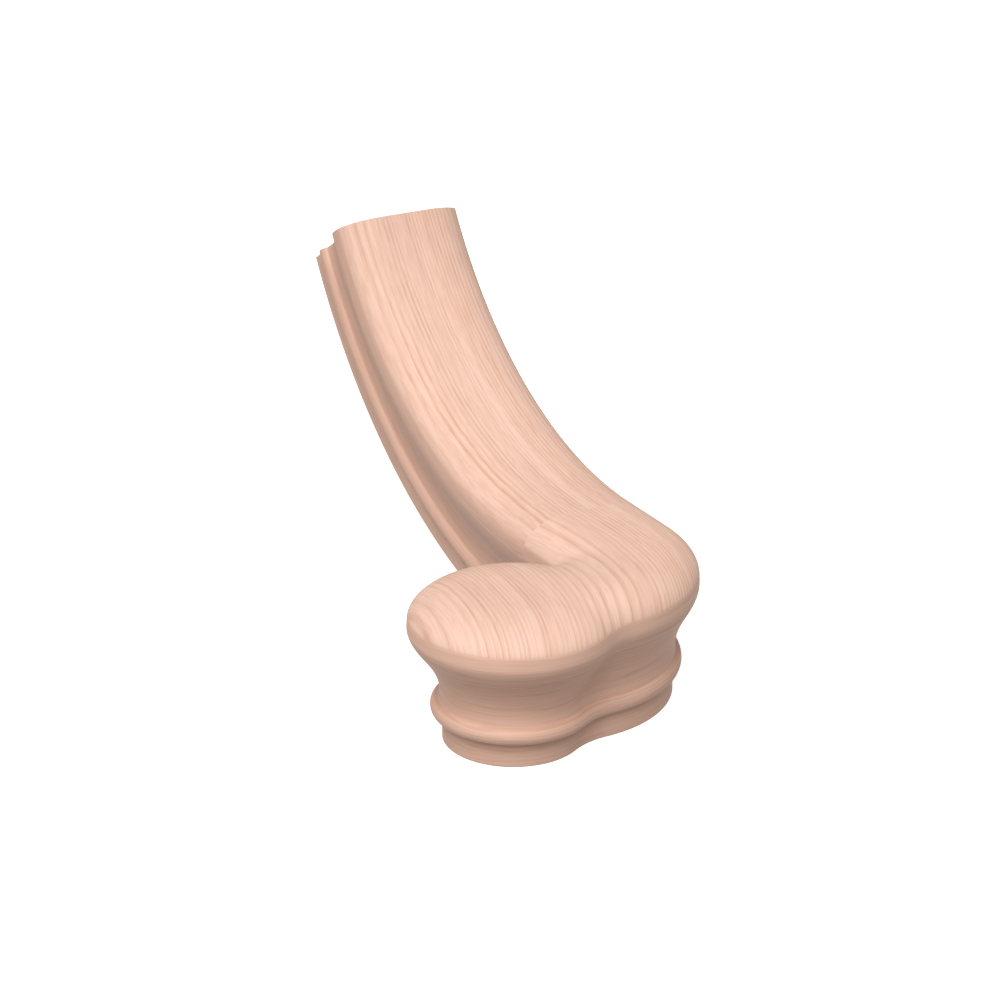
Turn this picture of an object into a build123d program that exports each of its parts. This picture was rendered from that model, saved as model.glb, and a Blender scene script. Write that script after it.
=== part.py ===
from build123d import *

import math
import os

# Handrail turnout: a moulded rail section that comes down a curved easing, runs level,
# turns aside through a quarter circle and ends in a round cap that sits on a newel post.
# The frame: millimetres, origin on the cap's axis in the underside plane, +Z up,
# +X uphill along the rail, +Y from the rail towards the cap.

# Rail section
RAIL_WIDTH = 57.2
RAIL_HEIGHT = 60.3
CROWN_HEIGHT = 12.4
CROWN_FLAT_WIDTH = 20.0
CROWN_SHOULDER_POWER = 1.95
CROWN_SIDE_POWER = 2.15

# Moulding on the side of the section, each inset measured in from the rail's widest line
PLINTH_HEIGHT = 10.2
PLINTH_INSET = 9.5
LEDGE_INSET = 7.8
LIP_HEIGHT = 11.4
LIP_INSET = 6.7
BEAD_HEIGHT = 13.2
BEAD_INSET = 6.2
FLARE_HEIGHT = 16.8
FLARE_INSET = 8.3
NECK_HEIGHT = 21.5
NECK_INSET = 8.7
COVE_HEIGHT = 35.5
COVE_INSET = 4.1
HEAD_BAND = 3.4

# Plan of the level part, where the turn's centre is set back from the cap's centre
HOLLOW_RADIUS = 2.9
CAP_HEAD_DIAMETER = 80.0
CAP_FOOT_DIAMETER = 54.0
CAP_SETBACK = 0.78 * CAP_HEAD_DIAMETER / 2
WAIST_RADIUS = 29.8
LEVEL_RUN = 31.2

# Easing, which is swept in equal segments
EASING_RADIUS = 230.4
EASING_ANGLE = 58.4
EASING_SEGMENTS = 4

# Bore for the newel's pin
PIN_BORE_DIAMETER = 19.0
PIN_BORE_DEPTH = 32.0

# Number of plan outlines that each moulded surface is lofted through
COVE_OUTLINES = 15
CROWN_OUTLINES = 10

HALF_WIDTH = RAIL_WIDTH / 2
HEAD_HEIGHT = RAIL_HEIGHT - CROWN_HEIGHT
TURN_RADIUS = HALF_WIDTH + HOLLOW_RADIUS
CAP_REACH = TURN_RADIUS + CAP_SETBACK
TURN_CENTRE = (TURN_RADIUS, -CAP_SETBACK)
EASING_START = TURN_CENTRE[0] + LEVEL_RUN


def polar(centre, radius, angle):
    """The point at a radius and an angle in radians about a centre in plan."""
    return (centre[0] + radius * math.cos(angle), centre[1] + radius * math.sin(angle))


def arc(centre, radius, start, end):
    """A circular arc in plan from one angle to another."""
    middle = (start + end) / 2
    return ThreePointArc(
        polar(centre, radius, start), polar(centre, radius, middle), polar(centre, radius, end)
    )


def angle_between(tail, tip):
    """The direction in plan from one point to another, from 0 to a full turn."""
    return math.atan2(tip[1] - tail[1], tip[0] - tail[0]) % (2 * math.pi)


def waist_centre(lobe_radius, cap_radius):
    """The centre of the hollow arc that touches the lobe's circle and the cap's circle."""
    to_lobe = lobe_radius + WAIST_RADIUS
    to_cap = cap_radius + WAIST_RADIUS
    span = math.hypot(*TURN_CENTRE)
    along = (to_cap**2 - to_lobe**2 + span**2) / (2 * span)
    aside = math.sqrt(to_cap**2 - along**2)
    unit = (TURN_CENTRE[0] / span, TURN_CENTRE[1] / span)
    return (along * unit[0] + aside * unit[1], along * unit[1] - aside * unit[0])


def plan_outline(inset, cap_radius, height):
    """The level part's closed outline at one height, as a flat face."""
    side = HALF_WIDTH - inset
    lobe_radius = TURN_RADIUS + side
    hollow_radius = TURN_RADIUS - side
    waist = waist_centre(lobe_radius, cap_radius)
    lobe_end = angle_between(TURN_CENTRE, waist)
    cap_start = angle_between((0, 0), waist)
    hollow_x = math.sqrt((cap_radius + hollow_radius) ** 2 - TURN_CENTRE[1] ** 2)
    hollow = (hollow_x, TURN_CENTRE[1])
    cap_end = angle_between((0, 0), hollow) - 2 * math.pi
    outer_y = -CAP_REACH - side
    inner_y = -CAP_REACH + side
    edges = [
        Line((EASING_START, outer_y), (TURN_CENTRE[0], outer_y)),
        arc(TURN_CENTRE, lobe_radius, 3 * math.pi / 2, lobe_end),
        arc(waist, WAIST_RADIUS, lobe_end - math.pi, cap_start - math.pi),
        arc((0, 0), cap_radius, cap_start, cap_end),
        arc(hollow, hollow_radius, cap_end + math.pi, 3 * math.pi / 2),
        Line((hollow_x, inner_y), (EASING_START, inner_y)),
        Line((EASING_START, inner_y), (EASING_START, outer_y)),
    ]
    return Plane.XY.offset(height) * make_face(edges)


def flank_cap_radius(inset):
    """The cap's radius below its widest line, where it overhangs more than the rail does."""
    foot = CAP_FOOT_DIAMETER / 2
    head = CAP_HEAD_DIAMETER / 2
    return foot + (head - foot) * (1 - inset / PLINTH_INSET)


def crown_cap_radius(inset):
    """The cap's radius above its widest line, which closes on the cap's axis."""
    return CAP_HEAD_DIAMETER / 2 * (1 - inset / HALF_WIDTH)


def plinth():
    """The square-edged foot of the moulding."""
    foot = plan_outline(PLINTH_INSET, flank_cap_radius(PLINTH_INSET), 0)
    return extrude(foot, PLINTH_HEIGHT, dir=(0, 0, 1))


def lofted_flank(profile):
    """A stretch of the side moulding, from its (inset, height) points in rising order."""
    return loft([plan_outline(at.X, flank_cap_radius(at.X), at.Y) for at in profile])


def bead_underside():
    """The ledge that stands out over the plinth, eased off in two flats to the bead."""
    ledge = Vector(LEDGE_INSET, PLINTH_HEIGHT)
    lip = Vector(LIP_INSET, LIP_HEIGHT)
    widest = Vector(BEAD_INSET, BEAD_HEIGHT)
    return [lofted_flank([ledge, lip]), lofted_flank([lip, widest])]


def cove():
    """The bead's rounded shoulder, the hollow above it and the under-edge of the head."""
    side = Spline(
        (BEAD_INSET, BEAD_HEIGHT),
        (FLARE_INSET, FLARE_HEIGHT),
        (NECK_INSET, NECK_HEIGHT),
        (COVE_INSET, COVE_HEIGHT),
        (0, HEAD_HEIGHT - HEAD_BAND),
        (0, HEAD_HEIGHT),
    )
    return lofted_flank([side @ (step / (COVE_OUTLINES - 1)) for step in range(COVE_OUTLINES)])


def crown():
    """The rounded top, lofted from the widest line up to the flat along the ridge."""
    outlines = []
    for step in range(CROWN_OUTLINES):
        outward = math.cos(step / (CROWN_OUTLINES - 1) * math.pi / 2)
        inset = (HALF_WIDTH - CROWN_FLAT_WIDTH / 2) * (1 - outward)
        rise = CROWN_HEIGHT * (1 - outward**CROWN_SHOULDER_POWER) ** (1 / CROWN_SIDE_POWER)
        outlines.append(plan_outline(inset, crown_cap_radius(inset), HEAD_HEIGHT + rise))
    return loft(outlines)


def rail_section(layers):
    """The rail's section where the easing starts, as one flat face."""

    def level_line(start, end, height):
        return Line((EASING_START, start, height), (EASING_START, end, height))

    foot = HALF_WIDTH - PLINTH_INSET
    ledge = HALF_WIDTH - LEDGE_INSET
    ridge = CROWN_FLAT_WIDTH / 2
    edges = [
        level_line(-CAP_REACH - foot, -CAP_REACH + foot, 0),
        level_line(-CAP_REACH - ledge, -CAP_REACH - foot, PLINTH_HEIGHT),
        level_line(-CAP_REACH + foot, -CAP_REACH + ledge, PLINTH_HEIGHT),
        level_line(-CAP_REACH - ridge, -CAP_REACH + ridge, RAIL_HEIGHT),
    ]
    for layer in layers:
        end_face = layer.faces().sort_by(Axis.X)[-1]
        edges += [edge for edge in end_face.edges() if (edge @ 0).Z != (edge @ 1).Z]
    return make_face(edges)


def easing(layers):
    """The same section carried uphill round the easing, in segments that meet end to end."""
    centre_line = Axis((EASING_START, 0, EASING_RADIUS), (0, -1, 0))
    turn = EASING_ANGLE / EASING_SEGMENTS
    first = revolve(rail_section(layers), centre_line, turn)
    return [first.rotate(centre_line, step * turn) for step in range(EASING_SEGMENTS)]


def pin_bore():
    """The blind hole that the newel's pin fits, drilled up the cap's axis."""
    return Pos(0, 0, PIN_BORE_DEPTH / 2) * Cylinder(PIN_BORE_DIAMETER / 2, PIN_BORE_DEPTH)


def turnout():
    """The whole fitting as the one piece of wood that it is."""
    layers = [plinth(), *bead_underside(), cove(), crown()]
    body = layers[0]
    for layer in layers[1:]:
        body += layer
    return (body - pin_bore()).fuse(*easing(layers))


os.makedirs("parts", exist_ok=True)
export_step(turnout(), "parts/turnout.step")
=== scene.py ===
import math

import bmesh
import bpy
from mathutils import Matrix, Vector


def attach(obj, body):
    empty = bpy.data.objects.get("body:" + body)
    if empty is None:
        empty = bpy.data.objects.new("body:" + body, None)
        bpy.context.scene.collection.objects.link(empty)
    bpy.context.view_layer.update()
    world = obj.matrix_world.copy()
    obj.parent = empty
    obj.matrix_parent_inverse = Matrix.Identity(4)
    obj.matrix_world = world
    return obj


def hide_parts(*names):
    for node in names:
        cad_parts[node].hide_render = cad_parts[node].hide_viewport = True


# A handrail turnout in red oak on a white floor, drawn as one mesh that is finer than the solid

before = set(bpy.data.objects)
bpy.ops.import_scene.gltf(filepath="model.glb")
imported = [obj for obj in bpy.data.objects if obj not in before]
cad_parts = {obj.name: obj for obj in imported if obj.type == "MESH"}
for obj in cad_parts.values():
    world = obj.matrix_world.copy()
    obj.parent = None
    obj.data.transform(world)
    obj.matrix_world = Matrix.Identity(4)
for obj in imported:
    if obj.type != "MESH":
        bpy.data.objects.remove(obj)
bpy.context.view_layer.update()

MM_PER_METRE = 1000.0

# The camera of the photograph, in metres and degrees
CAMERA_AIM = Vector((0.05855, -0.02655, 0.06952))
CAMERA_HEADING = 28.86
CAMERA_TILT = 22.65
CAMERA_DISTANCE = 1.13372
CAMERA_LENS_MM = 104.37
SENSOR_MM = 36.0

# The rail's section, in millimetres, as in the CAD solid but with a full round bead
HALF_WIDTH = 28.6
RAIL_HEIGHT = 60.3
CROWN_HEIGHT = 12.4
CROWN_FLAT_WIDTH = 20.0
CROWN_SHOULDER_POWER = 1.95
CROWN_SIDE_POWER = 2.15
PLINTH_HEIGHT = 10.2
PLINTH_INSET = 9.5
BEAD_HEIGHT = 13.5
BEAD_INSET = 6.2
FLARE_HEIGHT = 16.8
FLARE_INSET = 8.3
NECK_HEIGHT = 21.5
NECK_INSET = 8.7
COVE_HEIGHT = 35.5
COVE_INSET = 4.1
HEAD_BAND = 3.4
HEAD_HEIGHT = RAIL_HEIGHT - CROWN_HEIGHT

# How fast the inset grows with height at the flare, the neck, the cove and the head's band
FLARE_SLOPE = 0.25
NECK_SLOPE = -0.06
COVE_SLOPE = -0.56
BAND_SLOPE = -0.16

# The plan, the easing and the bore, in millimetres and degrees
HOLLOW_RADIUS = 2.9
CAP_HEAD_RADIUS = 40.0
CAP_FOOT_RADIUS = 27.0
CAP_SETBACK = 0.78 * CAP_HEAD_RADIUS
WAIST_RADIUS = 29.8
LEVEL_RUN = 31.2
TURN_RADIUS = HALF_WIDTH + HOLLOW_RADIUS
CAP_REACH = TURN_RADIUS + CAP_SETBACK
TURN_CENTRE = (TURN_RADIUS, -CAP_SETBACK)
EASING_START = TURN_RADIUS + LEVEL_RUN
EASING_RADIUS = 230.4
EASING_ANGLE = 58.4
BORE_RADIUS = 9.5
BORE_DEPTH = 32.0

# How finely the section, the plan, the easing and the bore are divided
BEAD_STEPS = 14
COVE_STEPS = 9
CROWN_STEPS = 22
STRAIGHT_STEPS = 6
LOBE_STEPS = 44
WAIST_STEPS = 20
CAP_STEPS = 72
HOLLOW_STEPS = 14
EASING_STEPS = 40
BORE_STEPS = 48

# The least angle between faces, in degrees, that is shaded as a sharp edge
SHARP_ANGLE = 35.0

# The places, in millimetres, where the grain changes, and over how much it does
GLUE_LINE = 53.0
GLUE_BLEND = 0.2
SHOULDER_HEIGHT = 50.5
SHOULDER_BLEND = 0.8
FOOT_FADE = (0.3, 0.1)
END_FADE = (0.12, 0.06)

# Red oak, freshly sanded, as linear colours, and the darkness over which one becomes the next
OAK_PALE = (0.72, 0.495, 0.400, 1.0)
OAK_MIDDLE = (0.65, 0.420, 0.328, 1.0)
OAK_DARK = (0.55, 0.330, 0.242, 1.0)
PALE_TO_MIDDLE = (0.0, 0.5)
MIDDLE_TO_DARK = (0.4, 1.0)

# Growth rings, in millimetres: their pitch on each face, and how far and how often they crowd
RING_PITCH = 2.5
SIDE_PITCH = 1.1
CROWDING = 0.55
CROWDING_EVERY = 72.0

# Where each block's rings lie, in millimetres, and how the level block's bow in plan
EASING_SHIFT = -8.0
BOW = 0.0021
BOW_START = 30.0
PITH = (-85.0, -30.0)

# How far the rings wander, in millimetres, and how quickly the noise for it changes
DRIFT = 4.0
DRIFT_ALONG = 0.008
DRIFT_ACROSS = 0.018
SIDE_DRIFT = 6.0
SIDE_DRIFT_ROUND = 0.012
SIDE_DRIFT_UP = 0.3
SIDE_DRIFT_DETAIL = 2.0

# Where in each ring, from 0 to 1, the late wood starts to darken and where it is darkest
LATE_START = 0.30
LATE_FULL = 0.82

# Noise in the figure: how slowly it changes along the grain, its scale and the range it uses
RING_STRETCH = 0.010
UNEVEN_SCALE = 0.43
UNEVEN_RANGE = (0.28, 0.62)
BROAD_SCALE = 0.19
BROAD_RANGE = (0.35, 0.65)
HAIR_STRETCH = 0.05
HAIR_SCALE = 1.5
HAIR_ROUGHNESS = 0.6
HAIR_RANGE = (0.40, 0.66)

# What the ring lines, the broad bands and the hairs each add to the darkness
LINE_SHARE = 0.53
BROAD_SHARE = 0.20
HAIR_SHARE = 0.27

# How strong the figure is on the moulded sides and the sawn end, and how much darker they are, the
# sides by painted shade
SIDE_CONTRAST = 0.55
SIDE_PAINTED_SHADE = 0.42
END_CONTRAST = 0.7
END_DARKER = 0.4

# What sets the noise of one part of the wood apart from the next
LEVEL_SEED = 0.0
EASING_SEED = 5.0
END_SEED = 9.0

# The wood's finish, with the sanded edge's radius and the grain's depth in metres
OAK_ROUGHNESS = 0.62
OAK_SPECULAR = 0.25
SANDED_EDGE = 0.001
GRAIN_STRENGTH = 0.2
GRAIN_DEPTH = 0.00008

# Soft studio light, in degrees: a broad one from high on the viewer's left, and an even surround
SUN_HEIGHT = 55.0
SUN_SIDE = 16.0
SUN_SPREAD = 50.0
SUN_STRENGTH = 3.5
SURROUND_COLOUR = (1.0, 0.94, 0.87, 1.0)
SURROUND_STRENGTH = 0.36

# The floor, in metres, with a glow that makes it as white as the photograph's ground
FLOOR_SIZE = 60.0
FLOOR_COLOUR = (0.74, 0.74, 0.74, 1.0)
FLOOR_ROUGHNESS = 0.9
FLOOR_GLOW = 0.7
FLOOR_GLOW_COLOUR = (1.0, 1.0, 1.0, 1.0)

# The Mix node's sockets
MIX_FACTOR = 0
MIX_NUMBERS = (2, 3)
MIX_COLOURS = (6, 7)
MIX_COLOUR_OUTPUT = 2


class Graph:
    """A material's shader graph, built one node at a time."""

    def __init__(self, material):
        self.nodes = material.node_tree.nodes
        self.links = material.node_tree.links

    def add(self, kind, inputs, **settings):
        """A new node with its settings and inputs; a socket as an input is linked."""
        node = self.nodes.new(kind)
        for name, value in settings.items():
            setattr(node, name, value)
        for name, value in inputs.items():
            self.feed(node.inputs[name], value)
        return node

    def feed(self, socket, value):
        """Links a socket, or sets the constant, into an input."""
        if isinstance(value, bpy.types.NodeSocket):
            self.links.new(value, socket)
        else:
            socket.default_value = value

    def maths(self, operation, *values):
        """One arithmetic step on numbers or sockets."""
        inputs = dict(enumerate(values))
        return self.add("ShaderNodeMath", inputs, operation=operation).outputs[0]

    def plus(self, first, second):
        """The sum of two numbers or sockets."""
        return self.maths("ADD", first, second)

    def minus(self, first, second):
        """What is left of the first number or socket without the second."""
        return self.maths("SUBTRACT", first, second)

    def times(self, first, second):
        """The product of two numbers or sockets."""
        return self.maths("MULTIPLY", first, second)

    def distance(self, aside, above):
        """How far off a point is that lies this far aside and this far above."""
        square = self.plus(self.times(aside, aside), self.times(above, above))
        return self.maths("SQRT", square)

    def combined(self, x, y, z):
        """A vector from three numbers or sockets."""
        return self.add("ShaderNodeCombineXYZ", {"X": x, "Y": y, "Z": z}).outputs[0]

    def noise(self, vector, scale=1.0, detail=1.0, roughness=0.5):
        """Smooth noise from 0 to 1."""
        inputs = {"Vector": vector, "Scale": scale, "Detail": detail, "Roughness": roughness}
        return self.add("ShaderNodeTexNoise", inputs).outputs[0]

    def ramp(self, value, low, high):
        """0 at low and 1 at high, smooth between and level beyond; low may be the larger."""
        inputs = {"Value": value, "From Min": low, "From Max": high}
        node = self.add("ShaderNodeMapRange", inputs, interpolation_type="SMOOTHSTEP")
        return node.outputs[0]

    def blend(self, factor, first, second):
        """first where factor is 0, second where it is 1, for numbers."""
        inputs = {MIX_FACTOR: factor, MIX_NUMBERS[0]: first, MIX_NUMBERS[1]: second}
        return self.add("ShaderNodeMix", inputs, data_type="FLOAT").outputs[0]

    def tint(self, factor, first, second):
        """first where factor is 0, second where it is 1, for colours."""
        inputs = {MIX_FACTOR: factor, MIX_COLOURS[0]: first, MIX_COLOURS[1]: second}
        node = self.add("ShaderNodeMix", inputs, data_type="RGBA")
        return node.outputs[MIX_COLOUR_OUTPUT]


def place_in_millimetres(graph):
    """The x, y and z of the point being shaded."""
    place = graph.add("ShaderNodeTexCoord", {}).outputs["Object"]
    parts = graph.add("ShaderNodeSeparateXYZ", {"Vector": place})
    return [graph.times(parts.outputs[axis], MM_PER_METRE) for axis in "XYZ"]


def level_block(graph, x, y, z):
    """Along, across and up in the level block, whose grain bows gently in plan."""
    beyond = graph.minus(x, BOW_START)
    bow = graph.times(graph.times(beyond, beyond), BOW)
    return x, graph.minus(y, bow), z


def easing_block(graph, x, y, z):
    """Along, across and up in the easing, whose grain follows its curve."""
    beyond = graph.minus(x, EASING_START)
    below = graph.minus(EASING_RADIUS, z)
    along = graph.times(graph.maths("ARCTAN2", beyond, below), EASING_RADIUS)
    up = graph.minus(EASING_RADIUS, graph.distance(beyond, below))
    return along, graph.plus(y, EASING_SHIFT), up


def crown_rings(graph, along, across):
    """Ring numbers across a flat-sawn face, where the rings come wide and close in turn."""
    slow = graph.combined(
        graph.times(along, DRIFT_ALONG), graph.times(across, DRIFT_ACROSS), 0.0
    )
    place = graph.plus(across, graph.times(graph.noise(slow), DRIFT))
    turn = graph.times(place, math.tau / CROWDING_EVERY)
    swing = graph.times(graph.maths("SINE", turn), CROWDING_EVERY / math.tau)
    crowded = graph.plus(place, graph.times(swing, CROWDING))
    return graph.maths("DIVIDE", crowded, RING_PITCH)


def side_rings(graph, along, across, up):
    """Ring numbers up a moulded side, where the lines follow the mouldings."""
    fitful = graph.combined(
        graph.times(graph.plus(along, across), SIDE_DRIFT_ROUND),
        graph.times(up, SIDE_DRIFT_UP),
        0.0,
    )
    wander = graph.times(graph.noise(fitful, detail=SIDE_DRIFT_DETAIL), SIDE_DRIFT)
    return graph.maths("DIVIDE", graph.plus(up, wander), SIDE_PITCH)


def end_rings(graph, across, up):
    """Ring numbers on the rail's sawn end, as arcs about the pith."""
    from_pith = graph.distance(graph.minus(across, PITH[0]), graph.minus(up, PITH[1]))
    return graph.maths("DIVIDE", from_pith, RING_PITCH)


def figure(graph, along, across, ring, seed):
    """How dark the wood is, from 0 to 1, from its ring lines, broad bands and fine hairs."""
    place = graph.maths("FRACT", ring)
    late = graph.minus(
        graph.ramp(place, LATE_START, LATE_FULL), graph.ramp(place, LATE_FULL, 1.0)
    )
    drawn = graph.combined(graph.times(along, RING_STRETCH), ring, seed)
    uneven = graph.ramp(graph.noise(drawn, UNEVEN_SCALE), *UNEVEN_RANGE)
    broad = graph.ramp(graph.noise(drawn, BROAD_SCALE), *BROAD_RANGE)
    hairs = graph.combined(graph.times(along, HAIR_STRETCH), across, seed)
    hair = graph.ramp(graph.noise(hairs, HAIR_SCALE, roughness=HAIR_ROUGHNESS), *HAIR_RANGE)
    dark = graph.times(graph.times(late, uneven), LINE_SHARE)
    dark = graph.plus(dark, graph.times(broad, BROAD_SHARE))
    return graph.plus(dark, graph.times(hair, HAIR_SHARE))


def oak_figure(graph, along, across, up, seed):
    """How dark the wood is, from 0 to 1, on the crown and foot and on the moulded sides, which
    carry painted shade.
    """
    on_top = graph.ramp(up, SHOULDER_HEIGHT - SHOULDER_BLEND, SHOULDER_HEIGHT + SHOULDER_BLEND)
    flat = graph.maths("MAXIMUM", on_top, graph.ramp(up, *FOOT_FADE))
    crown = figure(graph, along, across, crown_rings(graph, along, across), seed)
    side = figure(graph, along, up, side_rings(graph, along, across, up), seed)
    # The sides get a fixed extra darkness here, which is painted shade
    side = graph.plus(graph.times(side, SIDE_CONTRAST), SIDE_PAINTED_SHADE)
    return graph.blend(flat, side, crown)


def sawn_end(graph, along, across, up):
    """End grain: where it shows, and how dark it is."""
    end = math.radians(EASING_ANGLE) * EASING_RADIUS
    shows = graph.ramp(along, end - END_FADE[0], end - END_FADE[1])
    rings = figure(graph, 0.0, across, end_rings(graph, across, up), END_SEED)
    return shows, graph.plus(graph.times(rings, END_CONTRAST), END_DARKER)


def red_oak():
    """Sanded, unfinished red oak in two glued blocks, each with a grain of its own, with painted
    shade on the moulded sides.
    """
    material = bpy.data.materials.new("red_oak")
    material.use_nodes = True
    graph = Graph(material)
    x, y, z = place_in_millimetres(graph)
    in_easing = graph.ramp(x, GLUE_LINE - GLUE_BLEND, GLUE_LINE + GLUE_BLEND)
    level = oak_figure(graph, *level_block(graph, x, y, z), LEVEL_SEED)
    rail = easing_block(graph, x, y, z)
    dark = graph.blend(in_easing, level, oak_figure(graph, *rail, EASING_SEED))
    shows, end_dark = sawn_end(graph, *rail)
    dark = graph.blend(shows, dark, end_dark)
    colour = graph.tint(graph.ramp(dark, *PALE_TO_MIDDLE), OAK_PALE, OAK_MIDDLE)
    colour = graph.tint(graph.ramp(dark, *MIDDLE_TO_DARK), colour, OAK_DARK)
    edges = graph.add("ShaderNodeBevel", {"Radius": SANDED_EDGE}).outputs[0]
    relief = {"Height": dark, "Strength": GRAIN_STRENGTH, "Distance": GRAIN_DEPTH, "Normal": edges}
    lines = graph.add("ShaderNodeBump", relief, invert=True)
    shader = graph.nodes["Principled BSDF"]
    graph.feed(shader.inputs["Base Color"], colour)
    graph.feed(shader.inputs["Normal"], lines.outputs[0])
    shader.inputs["Roughness"].default_value = OAK_ROUGHNESS
    shader.inputs["Specular IOR Level"].default_value = OAK_SPECULAR
    return material


def floor_white():
    """A matt white that glows a little."""
    material = bpy.data.materials.new("floor_white")
    material.use_nodes = True
    shader = material.node_tree.nodes["Principled BSDF"]
    shader.inputs["Base Color"].default_value = FLOOR_COLOUR
    shader.inputs["Roughness"].default_value = FLOOR_ROUGHNESS
    shader.inputs["Emission Color"].default_value = FLOOR_GLOW_COLOUR
    shader.inputs["Emission Strength"].default_value = FLOOR_GLOW
    return material


def flank_cap_radius(inset):
    """The cap's radius below its widest line, where it overhangs more than the rail does."""
    return CAP_FOOT_RADIUS + (CAP_HEAD_RADIUS - CAP_FOOT_RADIUS) * (1 - inset / PLINTH_INSET)


def bead_profile():
    """A half round that stands out over the plinth, as (inset, height) points."""
    points = []
    for step in range(BEAD_STEPS + 1):
        angle = math.pi * (step / BEAD_STEPS - 0.5)
        inset = FLARE_INSET - (FLARE_INSET - BEAD_INSET) * math.cos(angle)
        points.append((inset, BEAD_HEIGHT + (FLARE_HEIGHT - BEAD_HEIGHT) * math.sin(angle)))
    return points


def cove_profile():
    """The hollow from the bead up to the head, as (inset, height) points on smooth cubics."""
    marks = [
        (FLARE_INSET, FLARE_HEIGHT, FLARE_SLOPE),
        (NECK_INSET, NECK_HEIGHT, NECK_SLOPE),
        (COVE_INSET, COVE_HEIGHT, COVE_SLOPE),
        (0.0, HEAD_HEIGHT - HEAD_BAND, BAND_SLOPE),
        (0.0, HEAD_HEIGHT, 0.0),
    ]
    points = []
    for (low, foot, start), (high, top, end) in zip(marks, marks[1:]):
        rise = top - foot
        for step in range(1, COVE_STEPS + 1):
            t = step / COVE_STEPS
            inset = (2 * t**3 - 3 * t**2 + 1) * low + (3 * t**2 - 2 * t**3) * high
            inset += ((t**3 - 2 * t**2 + t) * start + (t**3 - t**2) * end) * rise
            points.append((inset, foot + t * rise))
    return points


def section_rows():
    """The section from foot to ridge, as (inset, cap radius, height) rows."""
    flank = [(PLINTH_INSET, 0.0), (PLINTH_INSET, PLINTH_HEIGHT)]
    flank += bead_profile() + cove_profile()
    rows = [(inset, flank_cap_radius(inset), height) for inset, height in flank]
    for step in range(1, CROWN_STEPS + 1):
        outward = math.cos(step / CROWN_STEPS * math.pi / 2)
        inset = (HALF_WIDTH - CROWN_FLAT_WIDTH / 2) * (1 - outward)
        rise = CROWN_HEIGHT * (1 - outward**CROWN_SHOULDER_POWER) ** (1 / CROWN_SIDE_POWER)
        rows.append((inset, CAP_HEAD_RADIUS * (1 - inset / HALF_WIDTH), HEAD_HEIGHT + rise))
    return rows


def arc(centre, radius, start, end, steps):
    """Points on a circular arc in plan, without its first."""
    turns = [start + (end - start) * step / steps for step in range(1, steps + 1)]
    return [
        (centre[0] + radius * math.cos(turn), centre[1] + radius * math.sin(turn))
        for turn in turns
    ]


def angle_between(tail, tip):
    """The direction in plan from one point to another, from 0 to a full turn."""
    return math.atan2(tip[1] - tail[1], tip[0] - tail[0]) % math.tau


def waist_centre(lobe_radius, cap_radius):
    """The centre of the hollow arc that touches the lobe's circle and the cap's circle."""
    to_lobe = lobe_radius + WAIST_RADIUS
    to_cap = cap_radius + WAIST_RADIUS
    span = math.hypot(*TURN_CENTRE)
    along = (to_cap**2 - to_lobe**2 + span**2) / (2 * span)
    aside = math.sqrt(to_cap**2 - along**2)
    unit = (TURN_CENTRE[0] / span, TURN_CENTRE[1] / span)
    return (along * unit[0] + aside * unit[1], along * unit[1] - aside * unit[0])


def straight(start, end, side):
    """Points along the level rail's side, without the first."""
    steps = range(1, STRAIGHT_STEPS + 1)
    return [(start + (end - start) * step / STRAIGHT_STEPS, side) for step in steps]


def plan_points(inset, cap_radius):
    """The level part's outline at one inset, from the easing's outer side to its inner."""
    side = HALF_WIDTH - inset
    lobe_radius = TURN_RADIUS + side
    hollow_radius = TURN_RADIUS - side
    waist = waist_centre(lobe_radius, cap_radius)
    lobe_end = angle_between(TURN_CENTRE, waist)
    cap_start = angle_between((0, 0), waist)
    hollow_x = math.sqrt((cap_radius + hollow_radius) ** 2 - TURN_CENTRE[1] ** 2)
    hollow = (hollow_x, TURN_CENTRE[1])
    cap_end = angle_between((0, 0), hollow) - math.tau
    down = 3 * math.pi / 2
    points = [(EASING_START, -CAP_REACH - side)]
    points += straight(EASING_START, TURN_CENTRE[0], -CAP_REACH - side)
    points += arc(TURN_CENTRE, lobe_radius, down, lobe_end, LOBE_STEPS)
    points += arc(waist, WAIST_RADIUS, lobe_end - math.pi, cap_start - math.pi, WAIST_STEPS)
    points += arc((0, 0), cap_radius, cap_start, cap_end, CAP_STEPS)
    points += arc(hollow, hollow_radius, cap_end + math.pi, down, HOLLOW_STEPS)
    return points + straight(hollow_x, EASING_START, -CAP_REACH + side)


def along_easing(side, height):
    """Points up the easing from its start, on one line of the section, without the first."""
    points = []
    for step in range(1, EASING_STEPS + 1):
        turn = math.radians(EASING_ANGLE) * step / EASING_STEPS
        reach = EASING_RADIUS - height
        x = EASING_START + reach * math.sin(turn)
        points.append((x, side, EASING_RADIUS - reach * math.cos(turn)))
    return points


def row_points(inset, cap_radius, height):
    """One line of the section carried down the easing, round the level part and back up."""
    level = [(x, y, height) for x, y in plan_points(inset, cap_radius)]
    outer = along_easing(level[0][1], height)
    inner = along_easing(level[-1][1], height)
    return outer[::-1] + level + inner


def vertices(mesh, places):
    """New vertices at places in millimetres."""
    return [mesh.verts.new([value / MM_PER_METRE for value in place]) for place in places]


def close_strip(mesh, row):
    """Closes the foot or the ridge along the easing, between its two sides."""
    for step in range(EASING_STEPS):
        mesh.faces.new((row[step], row[step + 1], row[-2 - step], row[-1 - step]))


def loop_edges(mesh, loop):
    """The edges round a closed loop of vertices."""
    return [mesh.edges.get((loop[step - 1], loop[step])) for step in range(len(loop))]


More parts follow.
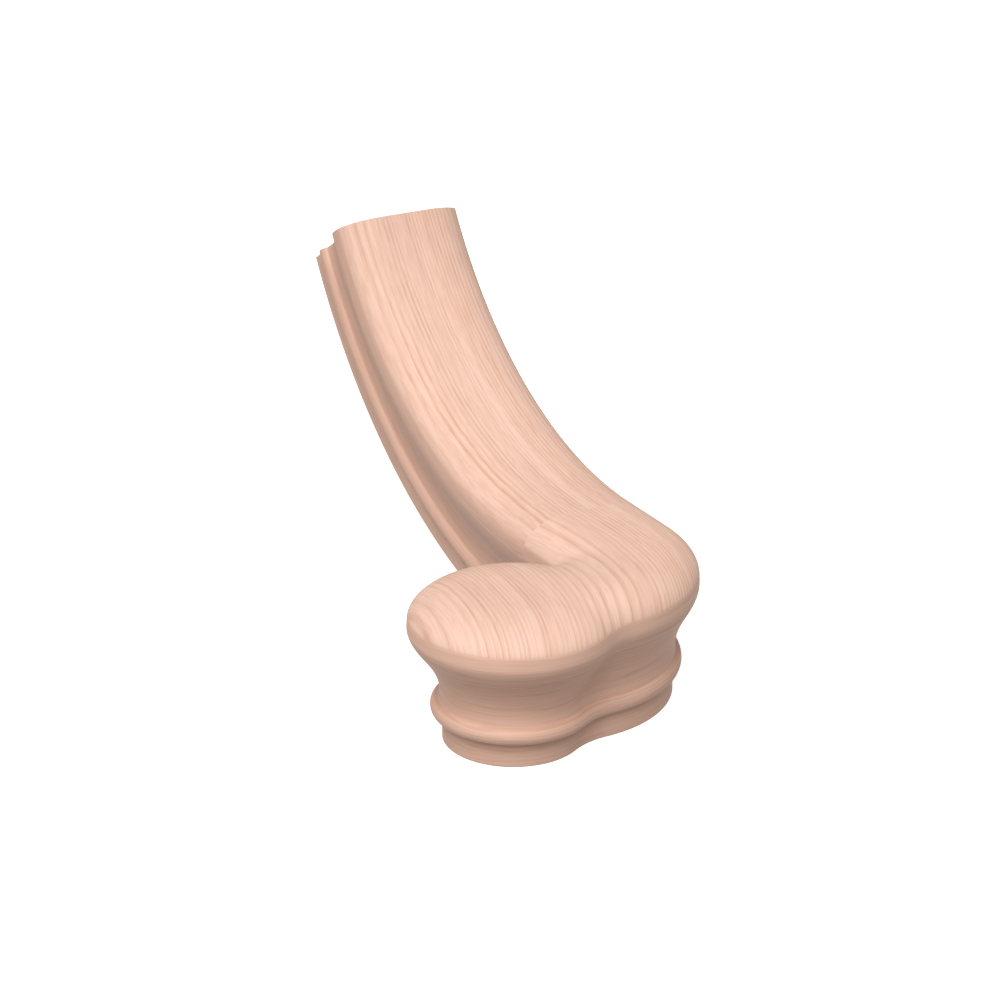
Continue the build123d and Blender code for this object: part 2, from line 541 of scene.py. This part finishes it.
def bore(mesh):
    """The bore's wall and its blind end; returns the edges of its mouth."""
    ring = arc((0, 0), BORE_RADIUS, 0.0, math.tau, BORE_STEPS)
    mouth, end = [
        vertices(mesh, [(x, y, height) for x, y in ring]) for height in (0.0, BORE_DEPTH)
    ]
    for step in range(BORE_STEPS):
        mesh.faces.new((mouth[step - 1], mouth[step], end[step], end[step - 1]))
    mesh.faces.new(end)
    return loop_edges(mesh, mouth)


def turnout_mesh():
    """The whole fitting as one closed surface, finer than the frame's mesh."""
    mesh = bmesh.new()
    rows = [vertices(mesh, row_points(*row)) for row in section_rows()]
    for low, high in zip(rows, rows[1:]):
        for column in range(len(low) - 1):
            corners = (low[column], low[column + 1], high[column + 1], high[column])
            mesh.faces.new(corners)
    foot, ridge = rows[0], rows[-1]
    close_strip(mesh, foot)
    close_strip(mesh, ridge)
    level = slice(EASING_STEPS, len(foot) - EASING_STEPS)
    mesh.faces.new(ridge[level])
    mesh.faces.new([row[0] for row in rows] + [row[-1] for row in reversed(rows)])
    rims = loop_edges(mesh, foot[level]) + bore(mesh)
    bmesh.ops.triangle_fill(mesh, edges=rims, use_beauty=True)
    bmesh.ops.recalc_face_normals(mesh, faces=mesh.faces)
    return mesh


def turnout():
    """The fitting's wood, in place of the CAD solid."""
    data = bpy.data.meshes.new("turnout_wood")
    mesh = turnout_mesh()
    mesh.to_mesh(data)
    mesh.free()
    data.shade_smooth()
    data.set_sharp_from_angle(angle=math.radians(SHARP_ANGLE))
    data.materials.append(red_oak())
    wood = bpy.data.objects.new("turnout_wood", data)
    bpy.context.scene.collection.objects.link(wood)
    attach(wood, "root")
    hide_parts("turnout")


def floor():
    """A plain pale floor under the part, which adds no diffuse light to it."""
    bpy.ops.mesh.primitive_plane_add(size=FLOOR_SIZE)
    ground = bpy.context.object
    ground.name = "floor"
    ground.data.materials.append(floor_white())
    ground.visible_diffuse = False


def camera():
    """Sets the photograph's camera and returns the direction that it looks in."""
    heading = math.radians(CAMERA_HEADING)
    tilt = math.radians(CAMERA_TILT)
    ahead = Vector(
        (
            math.cos(heading) * math.cos(tilt),
            -math.sin(heading) * math.cos(tilt),
            -math.sin(tilt),
        )
    )
    data = bpy.data.cameras.new("camera")
    data.lens = CAMERA_LENS_MM
    data.sensor_width = SENSOR_MM
    viewer = bpy.data.objects.new("camera", data)
    viewer.location = CAMERA_AIM - CAMERA_DISTANCE * ahead
    viewer.rotation_euler = ahead.to_track_quat("-Z", "Y").to_euler()
    bpy.context.scene.collection.objects.link(viewer)
    bpy.context.scene.camera = viewer
    return ahead


def surround():
    """Even, faintly warm light from all round."""
    world = bpy.data.worlds.new("surround")
    world.use_nodes = True
    background = world.node_tree.nodes["Background"]
    background.inputs["Color"].default_value = SURROUND_COLOUR
    background.inputs["Strength"].default_value = SURROUND_STRENGTH
    bpy.context.scene.world = world


def soft_light(ahead):
    """One broad soft light high on the left of a viewer who looks ahead."""
    data = bpy.data.lights.new("soft_light", "SUN")
    data.energy = SUN_STRENGTH
    data.angle = math.radians(SUN_SPREAD)
    lamp = bpy.data.objects.new("soft_light", data)
    height = math.radians(SUN_HEIGHT)
    level = Vector((ahead.x, ahead.y, 0.0)).normalized() * math.cos(height)
    level.rotate(Matrix.Rotation(-math.radians(SUN_SIDE), 3, "Z"))
    shining = Vector((level.x, level.y, -math.sin(height)))
    lamp.rotation_euler = shining.to_track_quat("-Z", "Y").to_euler()
    bpy.context.scene.collection.objects.link(lamp)


turnout()
floor()
surround()
soft_light(camera())
bpy.context.scene.view_settings.view_transform = "Standard"
